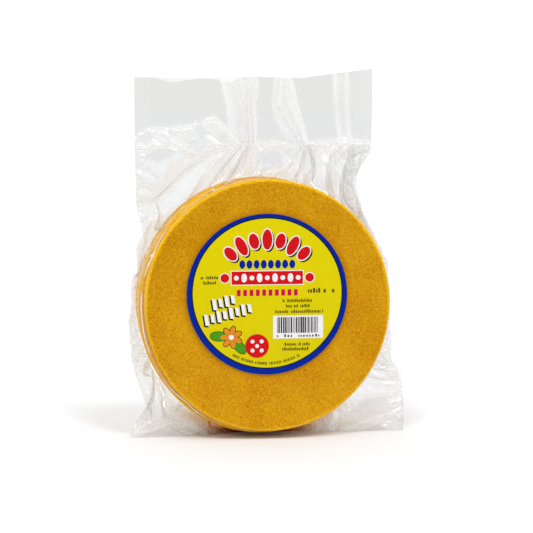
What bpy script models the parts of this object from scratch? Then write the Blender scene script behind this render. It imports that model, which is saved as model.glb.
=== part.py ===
"""Five round corn cakes stacked face to face in a clear vacuum bag with a round label.

The pack stands upright with its front face towards -Y. The origin is the centre of the
flat foot under the stack, on the surface the pack stands on.
"""
import math

import bmesh
import bpy
from mathutils import Vector

MM = 0.001
SMOOTH_ANGLE = math.radians(35.0)

# Cakes
CAKE_COUNT = 5
CAKE_THICKNESS = 7.3 * MM
CAKE_GAP = 0.3 * MM
CAKE_HALF_WIDTH = 62.2 * MM
CAKE_HALF_HEIGHT = 65.0 * MM
CAKE_CENTRE_X = -0.25 * MM
CAKE_CENTRE_Z = 66.9 * MM
CAKE_FLAT_Z = 2.2 * MM
CAKE_RIM_ROUNDING = 2.4 * MM
CAKE_SIDES = 64
CAKE_UNEVENNESS = 0.0035
CAKE_PHASE = 1.3
# Each cake's shift sideways and up, and what its half width and half height gain
CAKE_OFFSETS = (
    (1.35 * MM, 1.2 * MM, 0.0 * MM, -1.2 * MM),
    (-1.35 * MM, -0.2 * MM, -0.1 * MM, -0.3 * MM),
    (-0.9 * MM, 0.2 * MM, -0.4 * MM, -0.4 * MM),
    (-1.3 * MM, 0.1 * MM, -0.2 * MM, -0.2 * MM),
    (-1.0 * MM, -0.3 * MM, -0.1 * MM, -0.1 * MM),
)

# Label
LABEL_RADIUS = 40.0 * MM
LABEL_THICKNESS = 0.3 * MM
LABEL_GAP = 0.3 * MM
LABEL_CENTRE_X = 0.0 * MM
LABEL_CENTRE_Z = 74.0 * MM
LABEL_SIDES = 72

# Bag
STACK_HALF_DEPTH = (CAKE_COUNT * CAKE_THICKNESS + (CAKE_COUNT - 1) * CAKE_GAP) / 2
FILM_GAP = 0.35 * MM
BACK_WALL = 0.7 * MM
SIDE_WALL = 0.8 * MM
POCKET_OVERRUN = 6.0 * MM
POCKET_OVERLAP = 0.1 * MM
RIM_SETBACK = 0.6 * MM
SKIRT_HALF_THICKNESS = 0.6 * MM
TENT_REACH = 4.0 * MM
TENT_CURVE = 1.7
TENT_SHARES = (0.3, 0.7)
FILM_CORNER = 1.2 * MM
SEAM_STEP = 0.4 * MM
FOOT_HALF_LENGTH = 16.0 * MM
FOOT_TAPER_LENGTH = 24.0 * MM
FOOT_HALF_DEPTH = 16.0 * MM
STATION_SPACING = 6.5 * MM
# Corners of the bag's outline in millimetres (x, z), clockwise from the upper left corner
BAG_OUTLINE = (
    (-64.5, 182.5), (-54.0, 182.5), (-46.5, 180.0), (-31.5, 182.0), (-23.5, 181.5),
    (-16.0, 180.0), (-11.0, 183.0), (0.0, 183.0), (19.5, 182.0), (57.0, 187.0),
    (57.5, 153.0), (56.0, 145.0), (46.5, 129.0), (51.0, 112.0), (57.5, 99.0),
    (65.5, 83.5), (67.5, 52.0), (68.0, 36.0), (72.5, 30.0), (73.5, 25.5), (74.0, 2.0),
    (72.0, 0.0), (-68.5, 0.0), (-65.5, 7.5), (-59.0, 16.0), (-57.0, 20.0), (-59.5, 26.0),
    (-63.0, 33.5), (-66.0, 54.0), (-66.0, 76.0), (-60.5, 99.0), (-61.0, 105.0),
    (-64.0, 118.0), (-64.5, 145.5),
)
# Pleats in the loose upper flap seen from above in millimetres (x, depth)
FLAP_PLEATS = (
    (-64.5, 1.5), (-46.5, -2.5), (-31.5, 0.5), (-16.0, 3.0), (-9.0, -3.5), (0.0, 3.0),
    (9.0, -2.5), (19.5, 2.0), (38.0, -1.0), (57.0, 1.5),
)
FLAP_START_Z = 128.0 * MM
FLAP_RAMP = 30.0 * MM
EAR_FORWARD = 5.0 * MM
EAR_TOP_Z = 32.0 * MM
EAR_INNER_X = 44.0 * MM
EAR_RAMP = 20.0 * MM

# Colours and roughness
CRUMB_COLOUR = (0.62, 0.29, 0.012)
CRUMB_ROUGHNESS = 0.75
FILM_COLOUR = (0.82, 0.82, 0.81)
FILM_ROUGHNESS = 0.15
PAPER_COLOUR = (0.70, 0.58, 0.015)
PAPER_ROUGHNESS = 0.4


def clear_scene():
    for obj in list(bpy.data.objects):
        bpy.data.objects.remove(obj, do_unlink=True)


def make_material(name, colour, roughness):
    mat = bpy.data.materials.new(name)
    mat.use_nodes = True
    shader = mat.node_tree.nodes["Principled BSDF"]
    shader.inputs["Base Color"].default_value = (*colour, 1.0)
    shader.inputs["Roughness"].default_value = roughness
    mat.diffuse_color = (*colour, 1.0)
    return mat


def link_mesh(name, bm, collection, material=None):
    bmesh.ops.recalc_face_normals(bm, faces=bm.faces[:])
    mesh = bpy.data.meshes.new(name)
    bm.to_mesh(mesh)
    bm.free()
    mesh.shade_smooth()
    mesh.set_sharp_from_angle(angle=SMOOTH_ANGLE)
    obj = bpy.data.objects.new(name, mesh)
    collection.objects.link(obj)
    if material is not None:
        mesh.materials.append(material)
    return obj


def smooth_step(value):
    value = min(max(value, 0.0), 1.0)
    return value * value * (3.0 - 2.0 * value)


def cake_radius(angle, grow_width, grow_height, phase):
    """Distance from the cake's centre to its edge, slightly uneven."""
    half_width = CAKE_HALF_WIDTH + grow_width
    half_height = CAKE_HALF_HEIGHT + grow_height
    oval = 1.0 / math.hypot(math.cos(angle) / half_width, math.sin(angle) / half_height)
    wobble = math.sin(3 * angle + phase) + 0.6 * math.sin(5 * angle + 2.1 * phase)
    return oval * (1.0 + CAKE_UNEVENNESS * wobble)


def disc(radius_at, centre_x, centre_z, front_y, thickness, sides, lowest_z=None):
    """A disc facing -Y whose edge follows radius_at(angle)."""
    bm = bmesh.new()
    bmesh.ops.create_circle(bm, cap_ends=True, radius=1.0, segments=sides)
    for vert in bm.verts:
        angle = math.atan2(vert.co.y, vert.co.x)
        radius = radius_at(angle)
        x = centre_x + radius * math.cos(angle)
        z = centre_z + radius * math.sin(angle)
        if lowest_z is not None:
            z = max(z, lowest_z)
        vert.co = Vector((x, front_y, z))
    grown = bmesh.ops.extrude_face_region(bm, geom=bm.faces[:])
    back = [item for item in grown["geom"] if isinstance(item, bmesh.types.BMVert)]
    bmesh.ops.translate(bm, verts=back, vec=Vector((0.0, thickness, 0.0)))
    return bm


def round_rims(bm, amount, segments):
    """Round the front and back edges of a disc."""
    rims = [edge for edge in bm.edges if len(edge.link_faces[0].verts) > 4
            or len(edge.link_faces[1].verts) > 4]
    bmesh.ops.bevel(bm, geom=rims, offset=amount, segments=segments, profile=0.5,
                    affect="EDGES", clamp_overlap=True)


def cake_front(index):
    """Depth of a cake's front face."""
    return -STACK_HALF_DEPTH + index * (CAKE_THICKNESS + CAKE_GAP)


def cake_disc(index, room, front_y, thickness, lowest_z):
    """A disc over one cake's outline, with room to spare all round."""
    shift_x, shift_z, grow_width, grow_height = CAKE_OFFSETS[index]

    def radius_at(angle):
        return cake_radius(angle, grow_width + room, grow_height + room, CAKE_PHASE * index)

    return disc(radius_at, CAKE_CENTRE_X + shift_x, CAKE_CENTRE_Z + shift_z, front_y,
                thickness, CAKE_SIDES, lowest_z)


def make_cake(index, collection, material):
    bm = cake_disc(index, 0.0, cake_front(index), CAKE_THICKNESS, CAKE_FLAT_Z)
    round_rims(bm, CAKE_RIM_ROUNDING, 2)
    return link_mesh(f"arepa_{index + 1}", bm, collection, material)


def make_label(collection, material):
    front_y = -STACK_HALF_DEPTH - LABEL_GAP - LABEL_THICKNESS
    bm = disc(lambda angle: LABEL_RADIUS, LABEL_CENTRE_X, LABEL_CENTRE_Z, front_y,
              LABEL_THICKNESS, LABEL_SIDES)
    return link_mesh("label", bm, collection, material)


def outline_stations():
    """Points along the bag's outline, corners included."""
    corners = [Vector((x * MM, z * MM)) for x, z in BAG_OUTLINE]
    stations = []
    for start, end in zip(corners, corners[1:] + corners[:1]):
        steps = max(1, round((end - start).length / STATION_SPACING))
        for step in range(steps):
            stations.append(start.lerp(end, step / steps))
    return stations


def pleat_depth(x):
    """Sideways lean of the upper flap at x."""
    points = [(px * MM, py * MM) for px, py in FLAP_PLEATS]
    if x <= points[0][0]:
        return points[0][1]
    for (x0, y0), (x1, y1) in zip(points, points[1:]):
        if x <= x1:
            return y0 + (y1 - y0) * (x - x0) / (x1 - x0)
    return points[-1][1]


def middle_depth(x, z):
    """Depth of the surface where the front and back film meet."""
    flap = smooth_step((z - FLAP_START_Z) / FLAP_RAMP) * pleat_depth(x)
    ear = smooth_step((abs(x) - EAR_INNER_X) / EAR_RAMP)
    ear *= smooth_step((EAR_TOP_Z - z) / EAR_TOP_Z)
    return flap - ear * EAR_FORWARD


def foot_half_depth(x):
    """Half depth of the folded film under the stack."""
    spread = smooth_step((FOOT_HALF_LENGTH + FOOT_TAPER_LENGTH - abs(x)) / FOOT_TAPER_LENGTH)
    return SKIRT_HALF_THICKNESS + spread * (FOOT_HALF_DEPTH - SKIRT_HALF_THICKNESS)


def hug_radius(index, direction):
    """Distance from the stack's centre to the film over one cake's edge."""
    shift_x, shift_z, grow_width, grow_height = CAKE_OFFSETS[index]
    room = FILM_GAP + SIDE_WALL
    angle = math.atan2(direction.y, direction.x)
    radius = cake_radius(angle, grow_width + room, grow_height + room, CAKE_PHASE * index)
    return radius + direction.dot(Vector((shift_x, shift_z)))


def film_rings(station, side, direction, reach):
    """Distance from the centre, depth and share of the lean for each ring of one sheet."""
    face = STACK_HALF_DEPTH
    order = list(range(CAKE_COUNT // 2 + 1))
    if side > 0:
        face += FILM_GAP + BACK_WALL
        order = [CAKE_COUNT - 1 - index for index in order]
    edge = SKIRT_HALF_THICKNESS
    if station.y < SEAM_STEP:
        edge = foot_half_depth(station.x)
    hugs = [hug_radius(index, direction) for index in order]
    rings = [(hugs[0] - FILM_CORNER, face, 0.0), (hugs[0], face - RIM_SETBACK, 0.0)]
    for count, (outer, inner) in enumerate(zip(hugs, hugs[1:]), start=1):
        radius = max(outer, inner)
        depth = STACK_HALF_DEPTH - count * (CAKE_THICKNESS + CAKE_GAP) + CAKE_GAP / 2
        if depth < edge:
            radius = max(radius, rings[-1][0] + SEAM_STEP)
        rings.append((radius, max(depth, edge), 0.0))
    body, shoulder = min(rings[-1][0], reach - SEAM_STEP), rings[-1][1]
    tent = min(TENT_REACH, reach - body)
    for share in TENT_SHARES:
        slack = (1.0 - share) ** TENT_CURVE
        rings.append((body + share * tent, edge + (shoulder - edge) * slack, share))
    rings.append(((body + tent + reach) / 2, edge, 1.0))
    rings.append((reach, edge, 1.0))
    return rings


def film_column(station, side):
    """Points of one film sheet from the stack's face out to the outline."""
    centre = Vector((CAKE_CENTRE_X, CAKE_CENTRE_Z))
    arm = station - centre
    reach = arm.length
    direction = arm / reach
    rings = film_rings(station, side, direction, reach)
    points = []
    for place, (radius, depth, follow) in enumerate(rings):
        left = (len(rings) - 1 - place) / (len(rings) - 1)
        radius = min(radius, reach - SEAM_STEP * left)
        if direction.y < 0:
            radius = min(radius, (CAKE_CENTRE_Z - FILM_CORNER * left) / -direction.y)
        x = centre.x + direction.x * radius
        z = centre.y + direction.y * radius
        points.append(Vector((x, side * depth + follow * middle_depth(x, z), z)))
    return points


def make_bag_body(collection, material):
    """Outer shape of the bag: two film sheets joined along the outline."""
    stations = outline_stations()
    bm = bmesh.new()
    sheets = []
    for side in (-1, 1):
        columns = []
        for station in stations:
            columns.append([bm.verts.new(point) for point in film_column(station, side)])
        sheets.append(columns)
    count = len(stations)
    for columns in sheets:
        for index in range(count):
            here = columns[index]
            there = columns[(index + 1) % count]
            for ring in range(len(here) - 1):
                bm.faces.new((here[ring], there[ring], there[ring + 1], here[ring + 1]))
        bm.faces.new([column[0] for column in columns])
    for index in range(count):
        after = (index + 1) % count
        bm.faces.new((sheets[0][index][-1], sheets[0][after][-1],
                      sheets[1][after][-1], sheets[1][index][-1]))
    return link_mesh("bag", bm, collection, material)


def make_pocket_cutter(index, collection):
    """Room for one cake. The front one is open towards the front."""
    front_y = cake_front(index) - CAKE_GAP / 2 - POCKET_OVERLAP
    back_y = cake_front(index) + CAKE_THICKNESS + CAKE_GAP / 2 + POCKET_OVERLAP
    if index == 0:
        front_y -= POCKET_OVERRUN
    if index == CAKE_COUNT - 1:
        back_y = STACK_HALF_DEPTH + FILM_GAP
    bm = cake_disc(index, FILM_GAP, front_y, back_y - front_y, CAKE_FLAT_Z - FILM_GAP)
    cutter = link_mesh(f"pocket_cutter_{index + 1}", bm, collection)
    cutter.hide_render = True
    cutter.display_type = "WIRE"
    return cutter


def cut(target, cutter):
    modifier = target.modifiers.new(cutter.name, "BOOLEAN")
    modifier.operation = "DIFFERENCE"
    modifier.solver = "EXACT"
    modifier.object = cutter


def main():
    clear_scene()
    parts = bpy.data.collections.new("vacuum_packed_arepas")
    cutters = bpy.data.collections.new("cutters")
    bpy.context.scene.collection.children.link(parts)
    bpy.context.scene.collection.children.link(cutters)
    for index in range(CAKE_COUNT):
        crumb = make_material(f"corn_crumb_{index + 1}", CRUMB_COLOUR, CRUMB_ROUGHNESS)
        make_cake(index, parts, crumb)
    film = make_material("clear_film", FILM_COLOUR, FILM_ROUGHNESS)
    bag = make_bag_body(parts, film)
    for index in range(CAKE_COUNT):
        cut(bag, make_pocket_cutter(index, cutters))
    paper = make_material("label_paper", PAPER_COLOUR, PAPER_ROUGHNESS)
    make_label(parts, paper)


main()
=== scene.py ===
# %% [markdown]
# # A vacuum pack of corn cakes
# Five round corn cakes stand on edge, face to face, in a clear bag from which the air has
# been drawn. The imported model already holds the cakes, the outer shape of the bag and the
# round label as plain solids. This lesson dresses them: crumb on the cakes, thin creased
# film in place of the solid bag, and printed paper in place of the plain disc.
#
# Every length below is in millimetres and is turned into metres when a mesh is made.

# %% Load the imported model
import math

import bmesh
import bpy
import numpy as np
from mathutils import Matrix, Vector, noise


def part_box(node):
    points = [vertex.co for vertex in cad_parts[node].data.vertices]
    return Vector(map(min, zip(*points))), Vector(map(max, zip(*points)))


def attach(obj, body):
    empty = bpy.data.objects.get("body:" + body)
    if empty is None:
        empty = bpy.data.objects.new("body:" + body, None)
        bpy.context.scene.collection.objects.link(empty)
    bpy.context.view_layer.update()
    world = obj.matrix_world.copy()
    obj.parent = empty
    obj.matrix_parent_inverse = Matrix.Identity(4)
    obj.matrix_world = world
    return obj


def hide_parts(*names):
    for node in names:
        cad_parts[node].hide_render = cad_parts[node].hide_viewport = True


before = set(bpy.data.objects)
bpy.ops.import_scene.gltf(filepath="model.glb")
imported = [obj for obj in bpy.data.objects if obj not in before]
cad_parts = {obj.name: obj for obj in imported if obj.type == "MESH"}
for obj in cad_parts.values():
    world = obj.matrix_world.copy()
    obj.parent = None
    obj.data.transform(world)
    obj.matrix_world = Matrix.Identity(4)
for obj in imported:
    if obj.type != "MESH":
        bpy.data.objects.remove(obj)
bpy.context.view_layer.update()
MM = 0.001


def box_mm(node):
    """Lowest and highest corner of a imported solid, in millimetres."""
    low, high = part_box(node)
    return low / MM, high / MM


CAKE_NODES = [f"arepa_{number}" for number in range(1, 6)]
first_low, first_high = box_mm(CAKE_NODES[0])
second_low, second_high = box_mm(CAKE_NODES[1])
last_low, last_high = box_mm(CAKE_NODES[-1])
STACK_FRONT = first_low.y
STACK_BACK = last_high.y
STACK_HALF_DEPTH = (STACK_BACK - STACK_FRONT) / 2
print("stack depth", round(STACK_BACK - STACK_FRONT, 1), "mm,",
      "front cake", round(first_high.x - first_low.x, 1), "mm wide")

# %% [markdown]
# ## Camera
# The pack is seen from slightly left of its front and from a little above, from far enough
# away that the label stays round. A long lens at about 0.85 m does this. The camera is put
# on a line through a point above the label's middle, so that the empty space round the
# pack is the same as on a product card.

# %% Place the camera
label_low, label_high = box_mm("label")
LABEL_CENTRE = (label_low + label_high) / 2
VIEW_YAW = math.radians(-7.0)
VIEW_ELEVATION = math.radians(5.5)
VIEW_DISTANCE = 850.0
AIM_ABOVE_LABEL = 14.0
LENS = 114.5


def add_camera():
    towards_camera = Vector((math.sin(VIEW_YAW) * math.cos(VIEW_ELEVATION),
                             -math.cos(VIEW_YAW) * math.cos(VIEW_ELEVATION),
                             math.sin(VIEW_ELEVATION)))
    turn = (-towards_camera).to_track_quat("-Z", "Y")
    up = turn @ Vector((0.0, 1.0, 0.0))
    aim = LABEL_CENTRE + up * AIM_ABOVE_LABEL
    data = bpy.data.cameras.new("product_camera")
    data.lens = LENS
    data.clip_end = 100.0
    camera = bpy.data.objects.new("product_camera", data)
    camera.location = (aim + towards_camera * VIEW_DISTANCE) * MM
    camera.rotation_euler = turn.to_euler()
    bpy.context.scene.collection.objects.link(camera)
    bpy.context.scene.camera = camera
    return camera


camera = add_camera()
print("camera at", [round(value, 3) for value in camera.location])

# %% [markdown]
# ## Writing materials as expressions
# A node tree is easier to read as arithmetic. `Value` wraps one output socket, and adding,
# multiplying or comparing wrapped sockets adds the Math nodes. `Finish` makes one
# material and has a single method for every other kind of node.

# %% Wrap sockets


class Value:
    """One number in a node tree that can be used in an expression."""

    def __init__(self, finish, socket):
        self.finish = finish
        self.socket = socket

    def other(self, output):
        """Another output of the same node."""
        return Value(self.finish, self.socket.node.outputs[output])

    def combine(self, operation, first, second=None):
        inputs = {0: first} if second is None else {0: first, 1: second}
        return self.finish.node("ShaderNodeMath", {"operation": operation}, inputs)

    def __add__(self, other):
        return self.combine("ADD", self, other)

    def __radd__(self, other):
        return self.combine("ADD", other, self)

    def __sub__(self, other):
        return self.combine("SUBTRACT", self, other)

    def __rsub__(self, other):
        return self.combine("SUBTRACT", other, self)

    def __mul__(self, other):
        return self.combine("MULTIPLY", self, other)

    def __rmul__(self, other):
        return self.combine("MULTIPLY", other, self)

    def __pow__(self, other):
        return self.combine("POWER", self, other)


# %% Make a material


class Finish:
    """The nodes of a material, or of the room's light, and short ways to add to them."""

    def __init__(self, name, kind="materials", output="ShaderNodeOutputMaterial"):
        self.owner = getattr(bpy.data, kind).new(name)
        self.owner.use_nodes = True
        self.tree = self.owner.node_tree
        self.tree.nodes.clear()
        self.output = self.tree.nodes.new(output)

    def node(self, kind, settings=None, inputs=None, output=0):
        """Add one node, set it up, feed its sockets and return one output."""
        made = self.tree.nodes.new(kind)
        for key, value in (settings or {}).items():
            if key == "stops":
                self.set_stops(made, value)
            else:
                setattr(made, key, value)
        for key, value in (inputs or {}).items():
            if isinstance(value, Value):
                self.tree.links.new(value.socket, made.inputs[key])
            else:
                made.inputs[key].default_value = value
        return Value(self, made.outputs[output])

    def set_stops(self, ramp, stops):
        elements = ramp.color_ramp.elements
        while len(elements) < len(stops):
            elements.new(0.5)
        for element, (place, colour) in zip(elements, stops):
            element.position = place
            element.color = (*colour, 1.0)

    def grain(self, scale, detail=2.0, roughness=0.5, place=None, distortion=0.0):
        """Cloudy noise between 0 and 1."""
        inputs = {"Scale": scale, "Detail": detail, "Roughness": roughness,
                  "Distortion": distortion}
        inputs["Vector"] = place or self.place()
        return self.node("ShaderNodeTexNoise", {}, inputs)

    def place(self):
        """Position on the piece in metres."""
        return self.node("ShaderNodeTexCoord", output="Object")

    def ramp(self, value, low, high, out_low=0.0, out_high=1.0):
        """Smooth step of value from low to high."""
        settings = {"interpolation_type": "SMOOTHSTEP"}
        inputs = {"Value": value, "From Min": low, "From Max": high,
                  "To Min": out_low, "To Max": out_high}
        return self.node("ShaderNodeMapRange", settings, inputs)

    def blend(self, share, first, second):
        """Mix two colours."""
        inputs = {0: share, 6: colour_input(first), 7: colour_input(second)}
        return self.node("ShaderNodeMix", {"data_type": "RGBA"}, inputs, output=2)

    def bump(self, height, distance, strength=1.0, normal=None):
        inputs = {"Height": height, "Distance": distance, "Strength": strength}
        if normal is not None:
            inputs["Normal"] = normal
        return self.node("ShaderNodeBump", {}, inputs)

    def surface(self, shader):
        self.tree.links.new(shader.socket, self.output.inputs["Surface"])
        return self.owner


def colour_input(colour):
    """A colour as a socket takes it: a link stays, three numbers get an alpha."""
    if isinstance(colour, Value):
        return colour
    return (*colour, 1.0)


def srgb(red, green, blue):
    """A colour given as screen values from 0 to 255."""
    channels = []
    for value in (red, green, blue):
        value = value / 255.0
        if value <= 0.04045:
            channels.append(value / 12.92)
        else:
            channels.append(((value + 0.055) / 1.055) ** 2.4)
    return tuple(channels)


def finish_piece(bm, name, material):
    """Turn a bmesh in millimetres into a piece that rides on the pack."""
    bmesh.ops.scale(bm, vec=(MM, MM, MM), verts=bm.verts)
    mesh = bpy.data.meshes.new(name)
    bm.to_mesh(mesh)
    bm.free()
    mesh.shade_smooth()
    piece = bpy.data.objects.new(name, mesh)
    bpy.context.scene.collection.objects.link(piece)
    mesh.materials.append(material)
    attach(piece, "root")
    print(name, len(mesh.polygons), "faces")
    return piece


# %% [markdown]
# ## Corn crumb
# The cakes are pressed from coarse yellow corn meal and toasted. Close up the crust is a fine grain
# of orange and deeper gold, with small dark pores and a matt sheen. Noise at three scales gives the
# grain. The lighter, yellower rim is a painted highlight, placed by the distance from the cake's
# axis, and a painted shade darkens the crumb in a ring round the label's edge.

# %% Mix the crumb
FRONT_CENTRE = (first_low + first_high) / 2
FRONT_HALF = (first_high - first_low) / 2
REAR_CENTRE = (second_low + second_high) / 2
REAR_HALF = (second_high - second_low) / 2
LABEL_SHADE_FROM = 40.3
LABEL_SHADE_TO = 44.5


def oval_share(finish, centre, half_x=1.0, half_z=1.0):
    """Distance from an upright axis through centre, counted in half widths and heights."""
    flat = finish.node("ShaderNodeMapping", {"vector_type": "TEXTURE"},
                       {"Vector": finish.place(), "Location": (centre.x * MM, 0.0, centre.z * MM),
                        "Scale": (half_x * MM, 1000.0, half_z * MM)})
    return finish.node("ShaderNodeVectorMath", {"operation": "LENGTH"}, {0: flat},
                       output="Value")


def corn_crumb():
    finish = Finish("corn_crumb")
    place = finish.place()
    patches = finish.grain(45.0, detail=2.0)
    coarse = finish.grain(860.0, detail=2.0, roughness=0.6)
    fine = finish.grain(2300.0, detail=2.0, roughness=0.7)
    tone = finish.ramp(coarse * 0.40 + fine * 0.42 + patches * 0.18, 0.40, 0.60)
    colour = finish.blend(tone, srgb(192, 124, 5), srgb(220, 165, 25))
    colour = finish.blend(finish.ramp(finish.grain(110.0), 0.45, 0.7) * 0.25, colour,
                          srgb(214, 162, 12))
    specks = finish.node("ShaderNodeTexVoronoi", {"feature": "F1"},
                         {"Vector": place, "Scale": 330.0})
    picked = finish.ramp(finish.grain(360.0, detail=0.0), 0.56, 0.66)
    specks = finish.ramp(specks, 0.12, 0.26, 1.0, 0.0) * picked
    colour = finish.blend(specks * 0.6, colour, srgb(168, 84, 4))
    grits = finish.node("ShaderNodeTexVoronoi", {"feature": "F1"},
                        {"Vector": place, "Scale": 610.0})
    grits = finish.ramp(grits, 0.14, 0.30, 1.0, 0.0) * finish.ramp(fine, 0.5, 0.62)
    colour = finish.blend(grits * 0.45, colour, srgb(240, 190, 60))
    depth = finish.node("ShaderNodeSeparateXYZ", {}, {0: place}).other("Y")
    # Painted highlight: the rim is made lighter and yellower, most on the front and back faces, less
    # on the sides.
    rim_highlight_strength = finish.ramp(finish.node("ShaderNodeMath", {"operation": "ABSOLUTE"}, {0: depth}),
                       15.5 * MM, 17.5 * MM, 0.45, 0.7)
    rim = finish.ramp(oval_share(finish, FRONT_CENTRE, FRONT_HALF.x, FRONT_HALF.z) + tone * 0.008,
                      0.974, 0.992)
    rim_highlight_colour = finish.blend(tone, srgb(240, 184, 26), srgb(250, 202, 42))
    colour = finish.blend(rim * rim_highlight_strength, colour, rim_highlight_colour)
    # Painted shade: the crumb is darker in a ring just outside the label, on the front half only.
    painted_label_shade = (finish.ramp(oval_share(finish, LABEL_CENTRE), LABEL_SHADE_FROM, LABEL_SHADE_TO,
                         1.0, 0.0) * finish.ramp(depth, -10.0 * MM, 0.0, 1.0, 0.0))
    colour = finish.blend(painted_label_shade * 0.4, colour, srgb(172, 112, 10))
    relief = finish.bump(coarse * 0.5 + fine * 0.5 - specks * 0.4, 0.00012, 0.6)
    shader = finish.node("ShaderNodeBsdfPrincipled", {},
                         {"Base Color": colour,
                          "Roughness": finish.ramp(fine, 0.3, 0.7, 0.62, 0.8),
                          "Normal": relief, "Specular IOR Level": 0.02})
    return finish.surface(shader)


crumb = corn_crumb()

# %% [markdown]
# ## The cakes
# Each cake is a thick disc with rounded rims that isn't quite round. A profile from the middle of the
# front face, over the rim, to the middle of the back face is spun into a disc. Then every vertex is
# moved: outwards or inwards for the uneven edge, and by a little noise for the surface.

# %% Spin and roughen a cake
CAKE_RIM = 1.5
SPIN_STEPS = 300
FACE_RING = 1.3
CAKE_UNEVENNESS = 0.0035
GRAIN_RELIEF = 0.10
DIMPLE_RELIEF = 0.22


def cake_profile(radius, thickness, full_face):
    """Half section of a cake: distance from its axis, and depth."""
    inner = radius - CAKE_RIM
    rings = max(2, round(inner / FACE_RING)) if full_face else 12
    radii = [inner * ring / rings for ring in range(rings + 1)]
    front = [(distance, 0.0) for distance in radii]
    arc = [math.radians(angle) for angle in (15, 30, 45, 60, 75, 90)]
    rim = [(inner + CAKE_RIM * math.sin(angle), CAKE_RIM * (1 - math.cos(angle)))
           for angle in arc]
    half = front + rim
    return half + [(distance, thickness - depth) for distance, depth in reversed(half)]


def spun_disc(profile, steps):
    """Spin a profile about the Y axis and close it."""
    bm = bmesh.new()
    verts = [bm.verts.new((distance, depth, 0.0)) for distance, depth in profile]
    edges = [bm.edges.new(pair) for pair in zip(verts, verts[1:])]
    bmesh.ops.spin(bm, geom=verts + edges, cent=(0, 0, 0), axis=(0, 1, 0),
                   angle=math.tau, steps=steps, use_merge=True, use_duplicate=False)
    bmesh.ops.remove_doubles(bm, verts=bm.verts, dist=1e-4)
    bmesh.ops.recalc_face_normals(bm, faces=bm.faces)
    return bm


def uneven_edge(angle, phase):
    """How much farther out than a true oval the edge lies at an angle."""
    wobble = math.sin(3 * angle + phase) + 0.6 * math.sin(5 * angle + 2.1 * phase)
    return 1.0 + CAKE_UNEVENNESS * wobble


def make_cake(index):
    node = CAKE_NODES[index]
    low, high = box_mm(node)
    half_width = (high.x - low.x) / 2
    half_height = (high.z - low.z) / 2
    centre_x = (high.x + low.x) / 2
    centre_z = high.z - half_height
    outer = index in (0, len(CAKE_NODES) - 1)
    bm = spun_disc(cake_profile(half_width, high.y - low.y, outer), SPIN_STEPS)
    bm.normal_update()
    phase = 1.3 * index
    seed = Vector((0.0, 40.0 * index, 0.0))
    for vert in bm.verts:
        distance = math.hypot(vert.co.x, vert.co.z)
        angle = math.atan2(vert.co.z, vert.co.x)
        spread = distance / half_width * uneven_edge(angle, phase)
        here = Vector((centre_x + half_width * spread * math.cos(angle),
                       low.y + vert.co.y,
                       centre_z + half_height * spread * math.sin(angle)))
        sink = GRAIN_RELIEF * noise.noise((here + seed) * 0.9)
        sink += DIMPLE_RELIEF * noise.noise((here + seed) * 0.11)
        here -= vert.normal * (abs(sink) + 0.02)
        vert.co = here
    piece = finish_piece(bm, f"corn_cake_{index + 1}", crumb)
    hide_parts(node)
    return piece


cakes = [make_cake(index) for index in range(len(CAKE_NODES))]

# %% [markdown]
# ## The film
# The bag is two flat rectangles of clear film, welded along both sides and the bottom.
# Once the air is gone, the film lies tight on the stack, the loose part above it is flat
# between the welds, and everything that is too long or too wide falls into sharp creases.
# Creases like these are hard to draw by hand but easy to find by letting the film settle:
# each sheet is a grid of points, and every step gives the grid back its flat lengths,
# presses it inwards, and pushes it out of the stack. The welded edges are led to the
# places they have on the real pack.
#
# First come the bag's flat sizes and the places of its edges.

# %% Lay out the bag
FILM_HALF_WIDTH = 82.5
FILM_BOTTOM = -83.0
FILM_SEAL = 91.0
FILM_TOP = 126.0
SEAL_HEIGHT = 147.5
WELD_HEIGHT = 0.4
EAR_FORWARD = 5.0
# Places along the welded sides, from the table up to the seal (x, height)
LEFT_EDGE = ((-68.5, 0.4), (-65.5, 7.5), (-59.0, 16.0), (-57.0, 20.0), (-59.5, 26.0),
             (-63.0, 33.5), (-65.7, 54.0), (-65.5, 76.0), (-60.0, 99.0), (-61.0, 105.0),
             (-64.0, 118.0), (-64.5, 147.5))
RIGHT_EDGE = ((73.0, 0.4), (73.8, 8.0), (73.5, 25.5), (72.5, 30.0), (68.0, 36.0),
              (67.5, 52.0), (64.5, 83.5), (57.5, 99.0), (51.0, 112.0), (46.5, 129.0),
              (56.0, 145.0), (56.5, 147.5))
# The gathers of the loose upper part seen from above at three heights
# (place on the flat film, x, depth)
SEAL_GATHERS = ((-82.5, -64.5, 0.5), (-35.0, -17.5, -0.8), (-26.0, -9.5, 1.5),
                (-21.0, -8.2, -3.5), (-16.0, -6.6, 0.8), (-11.0, -4.6, -3.2),
                (-6.0, -2.4, 0.6), (6.0, 12.0, -0.6), (14.0, 21.0, 1.2), (20.5, 22.0, -3.0),
                (33.0, 24.5, 0.4), (52.0, 39.6, -0.4), (56.0, 41.8, 0.5), (60.0, 44.2, -0.5),
                (64.0, 46.4, 0.4), (68.0, 48.6, -0.3), (82.5, 56.5, 0.8))
MIDDLE_GATHERS = ((-82.5, -64.5, 0.8), (-35.0, -18.5, -1.2), (-26.0, -11.5, 1.6),
                  (-21.0, -9.8, -4.0), (-16.0, -8.0, 0.4), (-11.0, -5.5, -3.4),
                  (-6.0, -3.4, 0.2), (6.0, 5.0, -0.8), (14.0, 7.5, 0.8),
                  (20.5, 13.0, -6.5), (33.0, 18.6, 0.4), (52.0, 36.5, -0.3),
                  (56.0, 39.5, 0.5), (60.0, 42.4, -0.4), (64.0, 45.2, 0.4),
                  (68.0, 48.0, -0.3), (82.5, 57.0, 1.0))
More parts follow.
